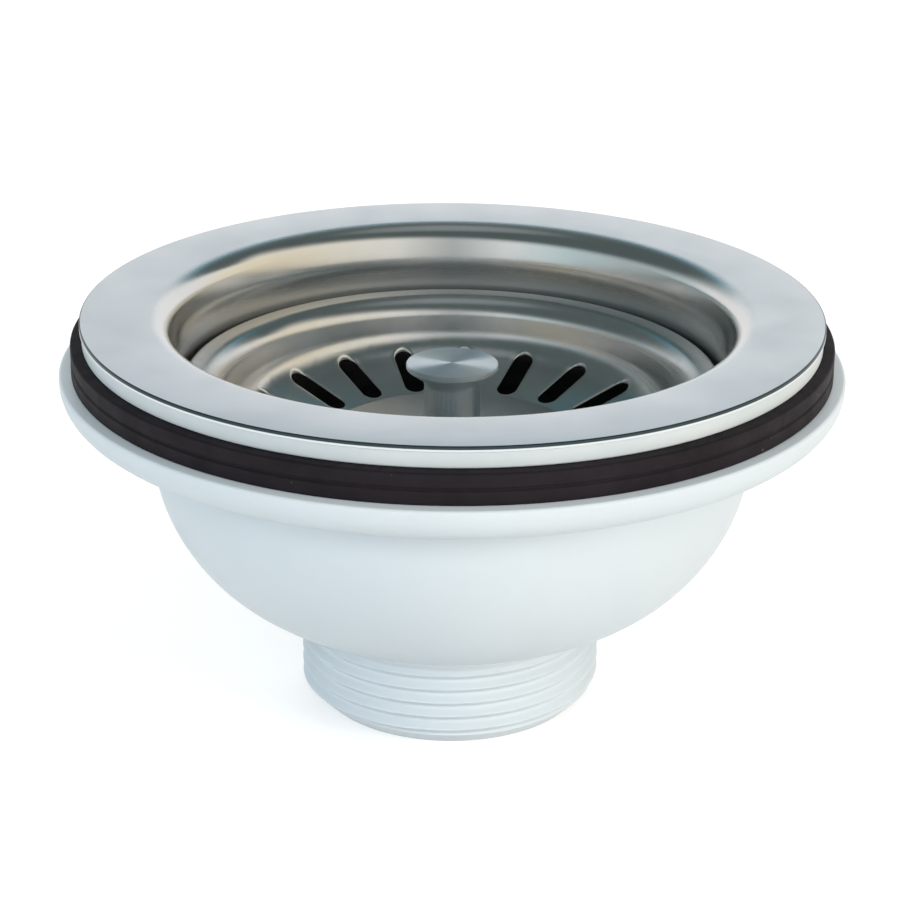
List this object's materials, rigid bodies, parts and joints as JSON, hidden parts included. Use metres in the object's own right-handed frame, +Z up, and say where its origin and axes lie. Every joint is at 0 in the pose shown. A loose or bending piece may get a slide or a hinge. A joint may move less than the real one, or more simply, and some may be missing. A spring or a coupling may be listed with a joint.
{
  "type": "basket strainer waste",
  "caption": "Kitchen sink basket strainer waste: steel flange and cup, lift-out slotted basket with knob and stopper, washer, rubber gasket and white bowl body with a threaded outlet.",
  "frame": {"origin": "centre of the outlet's end plane, on which the waste stands", "axes": "+Z up along the axis of the cup, basket and outlet; -Y towards the viewer of the picture"},
  "size_m": [0.1218, 0.1218, 0.0642],
  "materials": {
    "flange_steel": "satin flange, polished cup",
    "basket_steel": "polished",
    "knob_steel": "polished",
    "bolt_steel": "turned",
    "insert_brass": "turned",
    "white_plastic": "smooth moulded",
    "white_washer": "smooth",
    "nylon": "smooth",
    "black_rubber": "matt"
  },
  "bodies": {
    "waste": {"strainer_flange": "flange_steel", "flange_washer": "white_washer", "rubber_gasket": "black_rubber", "waste_body": "white_plastic", "bolt_bridge": "white_plastic", "threaded_insert": "insert_brass", "fixing_bolt": "bolt_steel", "bolt_washer": "nylon"},
    "lift_out_basket": {"basket": "basket_steel", "basket_knob": "knob_steel", "basket_stem": "bolt_steel", "stem_ring": "black_rubber", "stopper_seal": "black_rubber", "seal_plate": "basket_steel"}
  },
  "joints": [
    {"name": "basket_lift", "type": "slide", "parent": "waste", "child": "lift_out_basket", "axis": [0, 0, 1], "range_m": [0, 0.045]}
  ]
}
